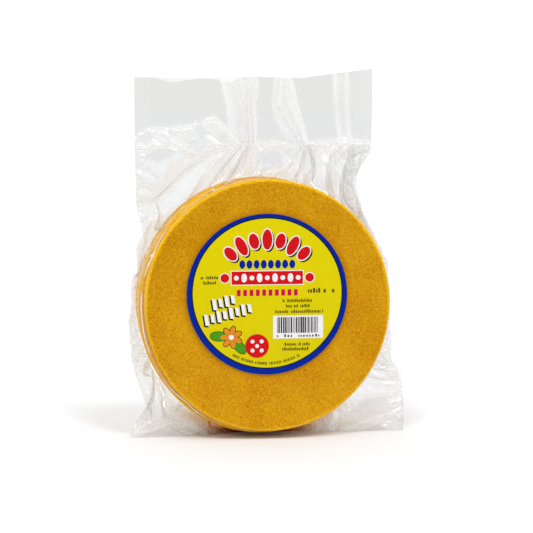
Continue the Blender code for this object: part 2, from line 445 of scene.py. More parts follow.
MOUTH_GATHERS = ((-82.5, -64.5, 1.0), (-35.0, -21.5, -1.8), (-26.0, -15.5, 1.6),
                 (-21.0, -12.0, -3.0), (-16.0, -9.0, 0.8), (-11.0, -5.0, -3.0),
                 (-6.0, -1.8, 0.6), (6.0, 6.0, -0.4), (14.0, 9.6, 0.8), (20.5, 12.5, -4.0),
                 (33.0, 15.2, 0.6), (52.0, 36.0, -0.8), (56.0, 39.0, 0.6),
                 (60.0, 42.0, -0.6), (64.0, 45.0, 0.5), (68.0, 47.8, -0.3), (82.5, 57.0, 1.2))
MIDDLE_HEIGHT = 168.0
# The bag's mouth, front and back sheet (x, height)
FRONT_MOUTH = ((-64.5, 182.5), (-54.0, 182.3), (-46.5, 179.8), (-31.5, 181.8),
               (-23.5, 181.3), (-16.0, 179.8), (-11.0, 182.8), (0.0, 182.8), (19.5, 182.0),
               (57.0, 187.0))
BACK_MOUTH = ((-64.5, 182.5), (-31.5, 182.0), (-11.0, 182.8), (19.5, 182.3), (57.0, 187.0))
# Below this line the upper part is crumpled (x, height)
CRUMPLE_LINE = ((-64.5, 153.6), (-58.0, 157.0), (-38.0, 158.6), (-24.0, 162.6),
                (-10.0, 149.0), (8.0, 150.0), (24.0, 149.0), (40.0, 152.0), (56.5, 150.0))
CRUMPLE_FADE = 2.2
CRUMPLE_DEPTH = 2.2
CRUMPLE_SIZE = 7.5
BOTTOM_WELD = ((-82.5, -68.5), (-50.0, -36.0), (-16.0, -15.0), (18.0, 17.0), (50.0, 38.0),
               (82.5, 73.0))


def column_of(table, key, column):
    """Read one column of a small table at the places in key."""
    table = np.asarray(table)
    return np.interp(key, table[:, 0], table[:, column])


def along(points, share):
    """Places at shares of a broken line's length."""
    points = np.asarray(points)
    steps = np.linalg.norm(np.diff(points, axis=0), axis=1)
    reached = np.concatenate([[0.0], np.cumsum(steps)]) / steps.sum()
    return np.stack([np.interp(share, reached, points[:, axis]) for axis in (0, 1)], -1)


def flat_grid(rows, columns):
    """Places of the grid on the flat film, measured from the stack's middle."""
    return (np.linspace(-FILM_HALF_WIDTH, FILM_HALF_WIDTH, columns),
            np.linspace(FILM_BOTTOM, FILM_TOP, rows))


# %% [markdown]
# Crumpled film is made of flat facets with sharp creases between them. `facets` gives such
# a surface: random heights on a bent lattice of triangles, joined by straight lines only.

# %% Crumple film


def cloud(rows, columns, cells, seed):
    """Smooth random bumps, cells grid steps apart."""
    draw = np.random.default_rng(seed)
    knots = draw.standard_normal((rows // cells + 4, columns // cells + 4))
    y = np.arange(rows) / cells
    x = np.arange(columns) / cells
    row, column = y.astype(int), x.astype(int)
    fade_y = (y - row)[:, None]
    fade_x = (x - column)[None]
    fade_y = fade_y * fade_y * (3.0 - 2.0 * fade_y)
    fade_x = fade_x * fade_x * (3.0 - 2.0 * fade_x)
    low = knots[row][:, column] * (1 - fade_x) + knots[row][:, column + 1] * fade_x
    high = knots[row + 1][:, column] * (1 - fade_x) + knots[row + 1][:, column + 1] * fade_x
    return low * (1 - fade_y) + high * fade_y


def facets(x, z, size, seed):
    """Height of a crumpled surface at each place, about -1 to 1."""
    draw = np.random.default_rng(seed)
    heights = draw.uniform(-1.0, 1.0, (64, 64))
    bend_x = 0.35 * size * np.sin(0.61 * z / size + seed) + 0.2 * size * np.sin(1.7 * x / size)
    bend_z = 0.35 * size * np.sin(0.53 * x / size + 2 * seed) + 0.2 * size * np.sin(1.9 * z / size)
    across = (x + bend_x) / size + 0.5 * (z + bend_z) / size
    up = (z + bend_z) / size
    column, row = np.floor(across).astype(int), np.floor(up).astype(int)
    share_x, share_z = across - column, up - row
    corner = [[heights[(row + dz) % 64, (column + dx) % 64] for dx in (0, 1)] for dz in (0, 1)]
    lower = (corner[0][0] + share_x * (corner[0][1] - corner[0][0])
             + share_z * (corner[1][0] - corner[0][0]))
    upper = (corner[1][1] + (1 - share_x) * (corner[1][0] - corner[1][1])
             + (1 - share_z) * (corner[0][1] - corner[1][1]))
    return np.where(share_x + share_z < 1.0, lower, upper)


# %% Lead the welded edges to their places


def upper_film(across, share, mouth, side):
    """The loose part above the seal: gathered panels, crumpled just above the seal."""
    share = share[:, None]
    rim = column_of(mouth, column_of(MOUTH_GATHERS, across, 1), 1)
    places = np.zeros((len(share), len(across), 3))
    places[..., 2] = SEAL_HEIGHT + (rim - SEAL_HEIGHT) * share
    middle_share = (MIDDLE_HEIGHT - SEAL_HEIGHT) / (rim - SEAL_HEIGHT)
    for axis, column in ((0, 1), (1, 2)):
        low, middle, high = (column_of(table, across, column)
                             for table in (SEAL_GATHERS, MIDDLE_GATHERS, MOUTH_GATHERS))
        below = low + (middle - low) * np.minimum(share / middle_share, 1.0)
        above = (high - middle) * np.maximum(share - middle_share, 0.0) / (1.0 - middle_share)
        places[..., axis] = below + above
    x, z = places[..., 0], places[..., 2]
    under = np.clip((column_of(CRUMPLE_LINE, x, 1) - z) / CRUMPLE_FADE, 0.0, 1.0)
    crumple = 0.75 + facets(x, z, CRUMPLE_SIZE, 5) + 0.4 * facets(x, z, CRUMPLE_SIZE / 2, 8)
    gap = 0.1 + 0.6 * share + under * CRUMPLE_DEPTH * crumple * (0.4 if side > 0 else 1.0)
    places[..., 1] += side * np.maximum(gap, 0.1)
    places[..., 1] += 0.25 * facets(x, z, 17.0, 21)
    return places


def held_places(rows, columns):
    """Where held grid points go, and which points are held."""
    across, up = flat_grid(rows, columns)
    places = np.zeros((2, rows, columns, 3))
    held = np.zeros((rows, columns))
    above = up >= FILM_SEAL - 0.01
    share = (up[above] - FILM_SEAL) / (FILM_TOP - FILM_SEAL)
    places[0, above] = upper_film(across, share, FRONT_MOUTH, -1.0)
    places[1, above] = upper_film(across, share, BACK_MOUTH, 1.0)
    height = (up[~above] - FILM_BOTTOM) / (FILM_SEAL - FILM_BOTTOM)
    forward = -EAR_FORWARD * np.clip(1.0 - height / 0.16, 0.0, 1.0)
    ripple = 0.8 * np.sin(23.0 * height) * (height > 0.12)
    for column, edge in ((0, LEFT_EDGE), (-1, RIGHT_EDGE)):
        line = along(edge, height)
        places[:, ~above, column, 0] = line[:, 0]
        places[:, ~above, column, 1] = forward + ripple
        places[:, ~above, column, 2] = line[:, 1]
    outward = np.clip((np.abs(across) - 20.0) / 30.0, 0.0, 1.0)
    places[:, 0, :, 0] = column_of(BOTTOM_WELD, across, 1)
    places[:, 0, :, 1] = -EAR_FORWARD * outward
    places[:, 0, :, 2] = WELD_HEIGHT
    held[above] = 1.0
    held[:, 0] = 1.0
    held[:, -1] = 1.0
    held[0] = 1.0
    return places, held


# %% [markdown]
# The film meets three things: the stack, the table and its other sheet. The stack is
# treated as one rounded disc with shallow grooves between the cakes, because the distance
# to that shape has a formula. A point inside it moves out by the shortest way.

# %% Keep the film out of the stack
STACK_RIM = 2.0
CAKE_STEP = 2.0
GROOVE_DEPTH = 0.8
GROOVE_WIDTH = 0.9
CAKE_PITCH = (STACK_BACK - STACK_FRONT) / len(CAKE_NODES)
FILM_CLEARANCE = 0.25
DEEPEST = STACK_HALF_DEPTH + 1.0


def stack_distance(film):
    """Distance of each point from the stack, and the way out in three parts."""
    into = film[..., 1] - STACK_FRONT - CAKE_PITCH
    rear = np.clip(0.5 + into / CAKE_STEP, 0.0, 1.0)
    x = film[..., 0] - (FRONT_CENTRE.x + rear * (REAR_CENTRE.x - FRONT_CENTRE.x))
    z = film[..., 2] - (FRONT_CENTRE.z + rear * (REAR_CENTRE.z - FRONT_CENTRE.z))
    half_width = FRONT_HALF.x + rear * (REAR_HALF.x - FRONT_HALF.x)
    half_height = FRONT_HALF.z + rear * (REAR_HALF.z - FRONT_HALF.z)
    reach = np.hypot(x, z) + 1e-9
    radius = 1.0 / np.hypot(x / reach / half_width, z / reach / half_height)
    for groove in range(1, len(CAKE_NODES)):
        offset = into - (groove - 1) * CAKE_PITCH
        radius = radius - GROOVE_DEPTH * np.exp(-(offset / GROOVE_WIDTH) ** 2)
    rim = STACK_RIM + FILM_CLEARANCE
    side = reach - (radius + FILM_CLEARANCE - rim)
    face = np.abs(film[..., 1]) - (STACK_HALF_DEPTH + FILM_CLEARANCE - rim)
    corner = np.hypot(np.maximum(side, 0.0), np.maximum(face, 0.0))
    distance = corner + np.minimum(np.maximum(side, face), 0.0) - rim
    on_corner = (side > 0.0) & (face > 0.0)
    out_side = np.where(on_corner, side / np.maximum(corner, 1e-9), side > face)
    out_face = np.where(on_corner, face / np.maximum(corner, 1e-9), side <= face)
    return distance, out_side * x / reach, out_face * np.sign(film[..., 1]), out_side * z / reach


def keep_clear(film):
    """Push the film out of the stack and the table, and its sheets apart."""
    distance, out_x, out_y, out_z = stack_distance(film)
    depth = np.maximum(-distance, 0.0)
    film[..., 0] += depth * out_x
    film[..., 1] += depth * out_y
    film[..., 2] += depth * out_z
    film[..., 2] = np.maximum(film[..., 2], WELD_HEIGHT - 0.1)
    film[..., 1] = np.clip(film[..., 1], -DEEPEST, DEEPEST)
    crossed = np.minimum(film[1, ..., 1] - film[0, ..., 1] - 0.3, 0.0) / 2
    film[0, ..., 1] += crossed
    film[1, ..., 1] -= crossed


# %% [markdown]
# A film hardly stretches, so each pair of neighbouring points keeps its flat distance. One
# sweep corrects every second pair at a time, first across, then up, then on the slant,
# and last over two steps, which makes the film resist sharp folding a little.

# %% Keep the film's lengths
BEND_STIFFNESS = 0.12


def keep_length(first, second, length, stiffness, held_first, held_second, only_push=False):
    """Move two sets of points so that their distance is right again."""
    apart = second - first
    now = np.sqrt((apart * apart).sum(-1)) + 1e-9
    error = (now - length) / now * stiffness
    if only_push:
        error = np.minimum(error, 0.0)
    free_first = 1.0 - held_first
    free_second = 1.0 - held_second
    share = error / np.maximum(free_first + free_second, 1e-6)
    first += apart * (share * free_first)[..., None]
    second -= apart * (share * free_second)[..., None]


def pairs(grid, offset, step, axis):
    """Two views of a grid whose points are step apart along an axis."""
    stride = 2 * step
    count = grid.shape[axis]
    take = [slice(None)] * grid.ndim
    take[axis] = slice(offset, count - step, stride)
    first = grid[tuple(take)]
    take[axis] = slice(offset + step, count, stride)
    second = grid[tuple(take)]
    take[axis] = slice(0, first.shape[axis])
    return first, second[tuple(take)]


def sweep(film, held, width, height):
    """Correct every length of both sheets once."""
    held = np.broadcast_to(held, film.shape[:3])
    for offset in (0, 1):
        keep_length(*pairs(film, offset, 1, 2), width, 1.0, *pairs(held, offset, 1, 2))
    for offset in (0, 1):
        keep_length(*pairs(film, offset, 1, 1), height, 1.0, *pairs(held, offset, 1, 1))
    slant = math.hypot(width, height)
    for offset in (0, 1):
        low, high = pairs(film, offset, 1, 1)
        held_low, held_high = pairs(held, offset, 1, 1)
        keep_length(low[:, :, :-1], high[:, :, 1:], slant, 0.7,
                    held_low[:, :, :-1], held_high[:, :, 1:])
        keep_length(low[:, :, 1:], high[:, :, :-1], slant, 0.7,
                    held_low[:, :, 1:], held_high[:, :, :-1])
    for axis, length in ((2, 2 * width), (1, 2 * height)):
        for offset in range(4):
            keep_length(*pairs(film, offset, 2, axis), length, BEND_STIFFNESS,
                        *pairs(held, offset, 2, axis), only_push=True)


# %% [markdown]
# The air leaves, which presses each sheet inwards along its own normal. The film settles
# first on a coarse grid, where the long folds form, and then on grids with twice and four
# times as many points, where the short creases form on top of them.

# %% Let the film settle
GRID_SIZES = ((45, 35), (89, 69), (177, 137), (353, 273))
GRID_STEPS = (900, 500, 240, 16)
FILM_SEED = 3
CREASE_FROM = 1.0
CREASE_FADE = 4.0
# How deep and how large the small facets are, and their seeds
CREASES = ((0.6, 11.0, 31), (0.25, 5.0, 32), (0.06, 2.6, 33))
GRID_NOISE = (0.28, 0.25, 0.14, 0.04)


def outward_of(film):
    """Which way each point of both sheets faces, away from the inside of the bag."""
    across = np.zeros_like(film)
    up = np.zeros_like(film)
    across[:, :, 1:-1] = film[:, :, 2:] - film[:, :, :-2]
    up[:, 1:-1] = film[:, 2:] - film[:, :-2]
    outward = np.cross(across, up)
    outward /= np.linalg.norm(outward, axis=-1, keepdims=True) + 1e-9
    outward[1] *= -1.0
    return outward


def draw_air_out(film, amount, held):
    """Press both sheets inwards."""
    film -= outward_of(film) * amount * (1.0 - held)[None, ..., None]


def doubled(grid, axis):
    """Put a new point between each two along an axis, on a smooth curve."""
    grid = np.moveaxis(grid, axis, 0)
    finer = np.empty((2 * len(grid) - 1,) + grid.shape[1:])
    finer[::2] = grid
    finer[1::2] = (grid[:-1] + grid[1:]) / 2
    finer[3:-3:2] = (9.0 * (grid[1:-2] + grid[2:-1]) - grid[:-3] - grid[3:]) / 16
    return np.moveaxis(finer, 0, axis)


def loose_bag(rows, columns):
    """The bag before the air is drawn out: a pillow round the stack."""
    across, up = flat_grid(rows, columns)
    film = np.zeros((2, rows, columns, 3))
    film[..., 0] = 0.99 * across + REAR_CENTRE.x
    film[..., 2] = up[:, None] + REAR_CENTRE.z
    from_edge = np.minimum(FILM_HALF_WIDTH - np.abs(across)[None],
                           np.minimum(up - FILM_BOTTOM, FILM_SEAL - up)[:, None])
    swell = (np.clip(from_edge, 0.0, 30.0) / 30.0) ** 0.6
    film[0, ..., 1] = -(STACK_HALF_DEPTH + 1.0) * swell
    film[1, ..., 1] = (STACK_HALF_DEPTH + 1.0) * swell
    return film


def settle(film, steps, level):
    """Draw the air out of the bag on one grid."""
    rows, columns = film.shape[1:3]
    places, held = held_places(rows, columns)
    width = 2 * FILM_HALF_WIDTH / (columns - 1)
    height = (FILM_TOP - FILM_BOTTOM) / (rows - 1)
    start = film.copy()
    free = 1.0 - held
    for side in (0, 1):
        seed = FILM_SEED + 10 * level + side
        noise = GRID_NOISE[level] * width * free
        film[side, ..., 1] += cloud(rows, columns, 3, seed) * noise
        film[side, ..., 2] += cloud(rows, columns, 3, seed + 5) * noise / 3
    grip = held[None, ..., None]
    for step in range(steps):
        led = min(1.0, step / (0.6 * steps)) if level == 0 else 1.0
        led = led * led * (3.0 - 2.0 * led)
        goal = start + (places - start) * led
        film += (goal - film) * grip
        draw_air_out(film, (0.05 if level == 0 else 0.02) * width, held)
        sweep(film, held, width, height)
        keep_clear(film)
        film += (goal - film) * grip
    return film


def crease(film):
    """Crumple the free film into small facets, both sheets alike."""
    distance = stack_distance(film)[0]
    loose = np.clip((distance - CREASE_FROM) / CREASE_FADE, 0.0, 1.0)
    across, up = flat_grid(*film.shape[1:3])
    loose = loose * (up < FILM_SEAL)[:, None] * np.clip((up - FILM_BOTTOM) / 6.0, 0.0, 1.0)[:, None]
    x, z = film[..., 0], film[..., 2]
    depth = sum(amount * facets(x, z, size, seed) for amount, size, seed in CREASES)
    film[..., 1] += depth * loose
    return film


def relax_bag():
    film = loose_bag(*GRID_SIZES[0])
    for level, steps in enumerate(GRID_STEPS):
        if level:
            film = doubled(doubled(film, 1), 2)
        film = settle(film, steps, level)
        print("grid", film.shape[1:3], "film from", film.min((0, 1, 2)).round(1),
              "to", film.max((0, 1, 2)).round(1))
    film = crease(film)
    keep_clear(film)
    return film


bag_film = relax_bag()

# %% [markdown]
# ## Clear film
# Thin film shows mostly what is behind it. Each sheet mirrors about a tenth of the light at a steep
# angle and much more at a glancing one, so flat panels look faintly grey on a white ground and
# creases flash. Where the film lies on a cake there is no air behind it and it nearly vanishes; where
# it bridges the groove between two cakes it carries a painted highlight, a thin white line. Round the
# foot it is pressed down, and a painted shadow tints it brown there in place of the warm shade under
# the stack. Low down it is made clearer, a painted lightening of the shaded table seen through it.
# The material mixes a clear shader with a mirror, and the share of the mirror is written out from the
# angle. Welds and creases are milkier.

# %% Mix the film
SIDE_WELD = 8.0 / (2 * FILM_HALF_WIDTH)
SEAL_SHARE = (FILM_SEAL - FILM_BOTTOM) / (FILM_TOP - FILM_BOTTOM)
SEAL_BAND = 1.6 / (FILM_TOP - FILM_BOTTOM)


def clear_film():
    finish = Finish("clear_film")
    flat = finish.node("ShaderNodeTexCoord", output="UV")
    split = finish.node("ShaderNodeSeparateXYZ", {}, {0: flat})
    across, up = split.other("X"), split.other("Y")
    from_side = finish.node("ShaderNodeMath", {"operation": "PINGPONG"},
                            {0: across, 1: 0.5})
    weld = finish.ramp(from_side, SIDE_WELD, SIDE_WELD + 0.004, 1.0, 0.0)
    from_seal = finish.node("ShaderNodeMath", {"operation": "ABSOLUTE"},
                            {0: up - (SEAL_SHARE + SEAL_BAND)})
    seal = finish.ramp(from_seal, SEAL_BAND * 0.9, SEAL_BAND * 1.1, 1.0, 0.0)
    milky = finish.node("ShaderNodeMath", {"operation": "MAXIMUM"}, {0: weld, 1: seal})
    touching = finish.node("ShaderNodeAttribute", {"attribute_name": "touching"},
                           output="Fac")
    facing = finish.node("ShaderNodeLayerWeight", {}, {"Blend": 0.5}, output="Facing")
    place = finish.node("ShaderNodeSeparateXYZ", {}, {0: finish.place()})
    depth, height = place.other("Y"), place.other("Z")
    beside = oval_share(finish, REAR_CENTRE, REAR_HALF.x, REAR_HALF.z)
    foot = (finish.ramp(height, 3.5 * MM, 9.0 * MM, 1.0, 0.0)
            * finish.ramp(beside, 1.03, 1.08, 1.0, 0.0))
    pressed = finish.node("ShaderNodeMath", {"operation": "MAXIMUM"}, {0: touching, 1: foot})
    # Painted shadow: near the table and close round the stack the film is tinted brown, darkest at
    # the very foot, in place of the warm shade under the cakes.
    foot_shadow_paint = (finish.ramp(height, 2.0 * MM, 18.0 * MM, 1.0, 0.0) * finish.ramp(beside, 0.985, 1.0)
            * finish.ramp(beside, 1.04, 1.12, 1.0, 0.0))
    mirror = 0.06 * (1.0 - 0.97 * pressed) + (0.62 - 0.4 * foot) * facing ** 5.0
    ripples = finish.grain(220.0, detail=3.0, distortion=0.6)
    creases = finish.grain(60.0, detail=2.0, distortion=1.2)
    normal = finish.bump(ripples * 0.35 + creases, 0.0006, 0.35)
    gloss = finish.node("ShaderNodeBsdfGlossy", {},
                        {"Color": (1.0, 1.0, 1.0, 1.0), "Roughness": 0.09, "Normal": normal})
    veiled = finish.node("ShaderNodeBsdfTransparent", {}, {"Color": (0.907, 0.901, 0.895, 1.0)})
    bright = finish.node("ShaderNodeBsdfTransparent", {}, {"Color": (0.985, 0.985, 0.98, 1.0)})
    crease = finish.node("ShaderNodeAttribute", {"attribute_name": "crease"}, output="Fac")
    # Painted light: below 60 mm the film lets more light through, lifting the shade on the table seen
    # behind the ears; creases also let more through.
    clearer_low_and_creased = finish.ramp(height, 20.0 * MM, 60.0 * MM, 0.45, 0.0)
    clearer_low_and_creased = finish.node("ShaderNodeMath", {"operation": "MAXIMUM"}, {0: clearer_low_and_creased, 1: crease * 0.45})
    bare = finish.node("ShaderNodeMath", {"operation": "MAXIMUM"}, {0: pressed, 1: clearer_low_and_creased})
    clear = finish.node("ShaderNodeMixShader", {}, {0: bare, 1: veiled, 2: bright})
    foot_shadow_tint = finish.node("ShaderNodeBsdfTransparent", {}, {"Color": (0.84, 0.58, 0.32, 1.0)})
    deep_foot_shadow_tint = finish.node("ShaderNodeBsdfTransparent", {}, {"Color": (0.62, 0.33, 0.10, 1.0)})
    clear = finish.node("ShaderNodeMixShader", {}, {0: foot_shadow_paint * 0.8, 1: clear, 2: foot_shadow_tint})
    clear = finish.node("ShaderNodeMixShader", {},
                        {0: foot_shadow_paint * finish.ramp(height, 2.0 * MM, 5.0 * MM, 0.8, 0.0),
                         1: clear, 2: deep_foot_shadow_tint})
    body = finish.node("ShaderNodeMixShader", {}, {0: mirror, 1: clear, 2: gloss})
    white = {"Color": (0.95, 0.95, 0.94, 1.0)}
    haze = finish.node("ShaderNodeMixShader", {},
                       {0: 0.5 * (1.0 - touching), 1: finish.node("ShaderNodeBsdfDiffuse", {}, white),
                        2: finish.node("ShaderNodeBsdfTranslucent", {}, white)})
    thickness = (0.012 + 0.06 * milky + 0.45 * crease) * (1.0 - pressed)
    from_groove = finish.node("ShaderNodeMath", {"operation": "PINGPONG"},
                              {0: depth - STACK_FRONT * MM, 1: CAKE_PITCH / 2 * MM})
    from_middle = finish.node("ShaderNodeMath", {"operation": "ABSOLUTE"}, {0: depth})
    # Painted highlight: thin white lines on the film where it crosses the grooves between cakes.
    groove_highlight = (finish.ramp(from_groove, 0.2 * MM, 0.6 * MM, 1.0, 0.0) * touching
                * finish.ramp(from_middle, 14.0 * MM, 15.0 * MM, 1.0, 0.0)
                * finish.ramp(finish.grain(70.0), 0.35, 0.6))
    white_share = thickness + 0.75 * groove_highlight
    whole = finish.node("ShaderNodeMixShader", {}, {0: white_share, 1: body, 2: haze})
    return finish.surface(whole)


film_finish = clear_film()

# %% [markdown]
# Each settled grid becomes the mesh of one sheet. A flat grid is made with its own map of
# the flat film, and every vertex is moved to its settled place. Two numbers go with each
# vertex: how closely the film lies on the stack, and how sharply it is bent, because film
# turns white where it is creased.

# %% Make the film a mesh
TOUCHING_WITHIN = 0.6
FREE_BEYOND = 1.6
BEND_SEEN = 0.10
BEND_WHITE = 0.55


def bend_of(film):
    """How fast the film turns at each point, in radians per millimetre."""
    outward = outward_of(film)
    rows, columns = film.shape[1:3]
    bend = np.zeros(film.shape[:3])
    width = 2 * FILM_HALF_WIDTH / (columns - 1)
    height = (FILM_TOP - FILM_BOTTOM) / (rows - 1)
    across = np.linalg.norm(outward[:, :, 4:] - outward[:, :, :-4], axis=-1) / (4 * width)
    up = np.linalg.norm(outward[:, 4:] - outward[:, :-4], axis=-1) / (4 * height)
    bend[:, :, 2:-2] = across
    bend[:, 2:-2] = np.maximum(bend[:, 2:-2], up)
    bend[:, :, :3] = bend[:, :, -3:] = bend[:, :3] = bend[:, -3:] = 0.0
    return bend


def make_sheet(name, places, touching, crease, turn_over):
    """Make one sheet of the bag."""
    rows, columns = places.shape[:2]
    bm = bmesh.new()
    bm.loops.layers.uv.new("flat_film")
    for layer_name in ("touching", "crease"):
        bm.verts.layers.float.new(layer_name)
    touching_layer = bm.verts.layers.float["touching"]
    crease_layer = bm.verts.layers.float["crease"]
    made = bmesh.ops.create_grid(bm, x_segments=columns - 1, y_segments=rows - 1,
                                 size=1.0, calc_uvs=True)
    for vert in made["verts"]:
        column = round((vert.co.x + 1.0) / 2.0 * (columns - 1))
        row = round((vert.co.y + 1.0) / 2.0 * (rows - 1))
        vert.co = places[row, column]
        vert[touching_layer] = touching[row, column]
        vert[crease_layer] = crease[row, column]
    if turn_over:
        bmesh.ops.reverse_faces(bm, faces=bm.faces[:])
    piece = finish_piece(bm, name, film_finish)
    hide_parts("bag")
    return piece


def make_film(film):
    distance = stack_distance(film)[0]
    touching = np.clip((FREE_BEYOND - distance) / (FREE_BEYOND - TOUCHING_WITHIN), 0.0, 1.0)
    crease = np.clip((bend_of(film) - BEND_SEEN) / (BEND_WHITE - BEND_SEEN), 0.0, 1.0)
    return [make_sheet("front_film", film[0], touching[0], crease[0], False),
            make_sheet("back_film", film[1], touching[1], crease[1], True)]


film_sheets = make_film(bag_film)

# %% [markdown]
# ## Label paper
# The label is a round of coated paper. Its print is laid out on the real size of the
# paper: a blue border, a yellow field and simple shapes of flat ink. Ink is thin, so each
# colour is one mesh of flat shapes a few hundredths of a millimetre in front of the paper,
# in the order in which a press would lay them down. Shapes of one colour start as a circle
# or a square from an operator and are then stretched, turned or bent into place.

# %% Mix paper and inks
INK_STEP = 0.03


def printed(name, colour, roughness=0.38):
    """Coated paper or ink: flat colour with faint mottling and a satin coat."""
    finish = Finish(name)
    mottle = finish.grain(900.0, detail=2.0)
    lighter = tuple(min(1.0, channel * 1.02) for channel in colour)
    darker = tuple(channel * 0.98 for channel in colour)
    tone = finish.blend(finish.ramp(mottle, 0.35, 0.65), darker, lighter)
    rough = finish.ramp(mottle, 0.3, 0.7, roughness - 0.04, roughness + 0.05)
    fibre = finish.bump(mottle, 0.00002, 0.25)
    shader = finish.node("ShaderNodeBsdfPrincipled", {},
                         {"Base Color": tone, "Roughness": rough, "Normal": fibre,
                          "Specular IOR Level": 0.05})
    return finish.surface(shader)


YELLOW = printed("yellow_paper", srgb(219, 203, 8))
BLUE = printed("blue_ink", srgb(6, 38, 146))
RED = printed("red_ink", srgb(208, 22, 26))
WHITE = printed("white_ink", srgb(236, 234, 236))
BLACK = printed("black_ink", srgb(22, 20, 16))
GREY = printed("small_print_ink", srgb(88, 80, 22))
MAGENTA = printed("magenta_ink", srgb(200, 18, 74))
GREEN = printed("green_ink", srgb(70, 148, 30))
ORANGE = printed("orange_ink", srgb(222, 138, 40))

# %% Cut the paper
LABEL_RADIUS = (label_high.x - label_low.x) / 2
LABEL_FRONT = label_low.y
PAPER_EDGE = 0.06
PAPER_RADIUS = LABEL_RADIUS + 0.5
PAPER_ASIDE = 0.4
BORDER_WIDTH = 2.4
BORDER_LINE = 0.5
BORDER_SHIFT = Vector((0.1, 0.55))


def to_label(x, up, lift):
    """A place on the label in the pack's own frame."""
    return Vector((LABEL_CENTRE.x + PAPER_ASIDE + x, LABEL_FRONT - lift,
                   LABEL_CENTRE.z + up))


def cut_paper():
    """A disc of paper with softened edges, standing on the front of the film."""
    bm = bmesh.new()
    bmesh.ops.create_circle(bm, cap_ends=True, radius=PAPER_RADIUS - 0.1, segments=180)
    grown = bmesh.ops.extrude_face_region(bm, geom=bm.faces[:])
    back = [item for item in grown["geom"] if isinstance(item, bmesh.types.BMVert)]
    bmesh.ops.translate(bm, verts=back, vec=(0.0, 0.0, -(label_high.y - label_low.y)))
    rims = [edge for edge in bm.edges if max(len(face.verts) for face in edge.link_faces) > 4]
    bmesh.ops.bevel(bm, geom=rims, offset=PAPER_EDGE, segments=2, profile=0.5,
                    affect="EDGES", material=-1)
    for vert in bm.verts:
        vert.co = to_label(vert.co.x, vert.co.y, vert.co.z)
    bmesh.ops.recalc_face_normals(bm, faces=bm.faces)
    piece = finish_piece(bm, "label_paper", YELLOW)
    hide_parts("label")
    return piece


paper = cut_paper()

# %% [markdown]
# A shape is described by what it is: `disc`, `block`, `petal`, and `bow` for a bent band or a whole
# ring. Each adds its faces to the bmesh of its ink. A shape with a pale outline and a
# dark shadow is simply laid down three times, larger and shifted at first.

# %% Shapes of ink


class Ink:
    """One colour of print, as flat shapes on the label."""

    def __init__(self, name, material, layer):
        self.name = name
        self.material = material
        self.lift = INK_STEP * layer
        self.bm = bmesh.new()

    def place_shape(self, verts, x, up, turn=0.0):
        cosine, sine = math.cos(turn), math.sin(turn)
        for vert in verts:
            across, along_shape = vert.co.x, vert.co.y
            vert.co = to_label(x + across * cosine - along_shape * sine,
                               up + across * sine + along_shape * cosine, self.lift)

    def disc(self, x, up, radius, segments=40):
        made = bmesh.ops.create_circle(self.bm, cap_ends=True, radius=radius,
                                       segments=segments)
        self.place_shape(made["verts"], x, up)

    def block(self, x, up, width, height, turn=0.0, slant=0.0):
        made = bmesh.ops.create_grid(self.bm, x_segments=1, y_segments=1, size=0.5)
        for vert in made["verts"]:
            vert.co.x = vert.co.x * width + vert.co.y * height * slant
            vert.co.y *= height
        self.place_shape(made["verts"], x, up, turn)

    def petal(self, x, up, length, width, turn, grow=0.0, point=1.4):
        """A leaf shape with a point at each end."""
        made = bmesh.ops.create_circle(self.bm, cap_ends=True, radius=1.0, segments=28)
        for vert in made["verts"]:
            angle = math.atan2(vert.co.y, vert.co.x)
            vert.co.x = math.cos(angle) * (length / 2 + grow)
            belly = abs(math.sin(angle)) ** point * (width / 2)
            vert.co.y = math.copysign(belly + grow * abs(math.sin(angle)), math.sin(angle))
        self.place_shape(made["verts"], x, up, turn)

    def bow(self, x, up, radius, start, end, inner, outer, steps=24, inner_shift=(0.0, 0.0)):
        """Part of a ring round (x, up), between two angles in degrees."""
        made = bmesh.ops.create_grid(self.bm, x_segments=steps, y_segments=1, size=1.0)
        for vert in made["verts"]:
            share = (vert.co.x + 1.0) / 2.0
            angle = math.radians(start + (end - start) * share)
            reach = radius + (outer if vert.co.y > 0 else inner)
            shift = (0.0, 0.0) if vert.co.y > 0 else inner_shift
            vert.co.x = reach * math.cos(angle) + shift[0]
            vert.co.y = reach * math.sin(angle) + shift[1]
        self.place_shape(made["verts"], x, up)

    def finish(self):
        towards_viewer = Vector((0.0, -1.0, 0.0))
        self.bm.normal_update()
        wrong = [face for face in self.bm.faces if face.normal.dot(towards_viewer) < 0.0]
        bmesh.ops.reverse_faces(self.bm, faces=wrong)
        return finish_piece(self.bm, self.name, self.material)


blue = Ink("print_blue", BLUE, 1)
black = Ink("print_black", BLACK, 1)
white = Ink("print_white", WHITE, 2)
red = Ink("print_red", RED, 3)
magenta = Ink("print_magenta", MAGENTA, 1)
small_print = Ink("print_small", GREY, 1)
green = Ink("print_green", GREEN, 2)
orange = Ink("print_orange", ORANGE, 3)
white_over = Ink("print_white_over", WHITE, 4)
black_over = Ink("print_black_over", BLACK, 4)

# %% Border, crown and band
blue.bow(0, 0, PAPER_RADIUS, 0, 360, -BORDER_WIDTH, 0.0, steps=180,
         inner_shift=BORDER_SHIFT)
black.bow(*BORDER_SHIFT, PAPER_RADIUS - BORDER_WIDTH, 0, 360, -BORDER_LINE, 0.0, steps=180)

CROWN_RADIUS = 27.6
for number in range(7):
    angle = math.radians(132 - 14 * number)
    x, up = CROWN_RADIUS * math.cos(angle), CROWN_RADIUS * math.sin(angle)
    length = 10.6 if number % 2 else 8.2
    black.petal(x + 0.7, up - 0.7, length, 5.4, angle, grow=0.3, point=1.0)
    white.petal(x, up, length, 5.4, angle, grow=0.4, point=1.0)
    red.petal(x, up, length - 0.4, 5.0, angle, point=1.0)
for number in range(8):
    blue.petal(-12.6 + 3.6 * number, 15.2, 4.4, 3.0, math.pi / 2, point=1.1)

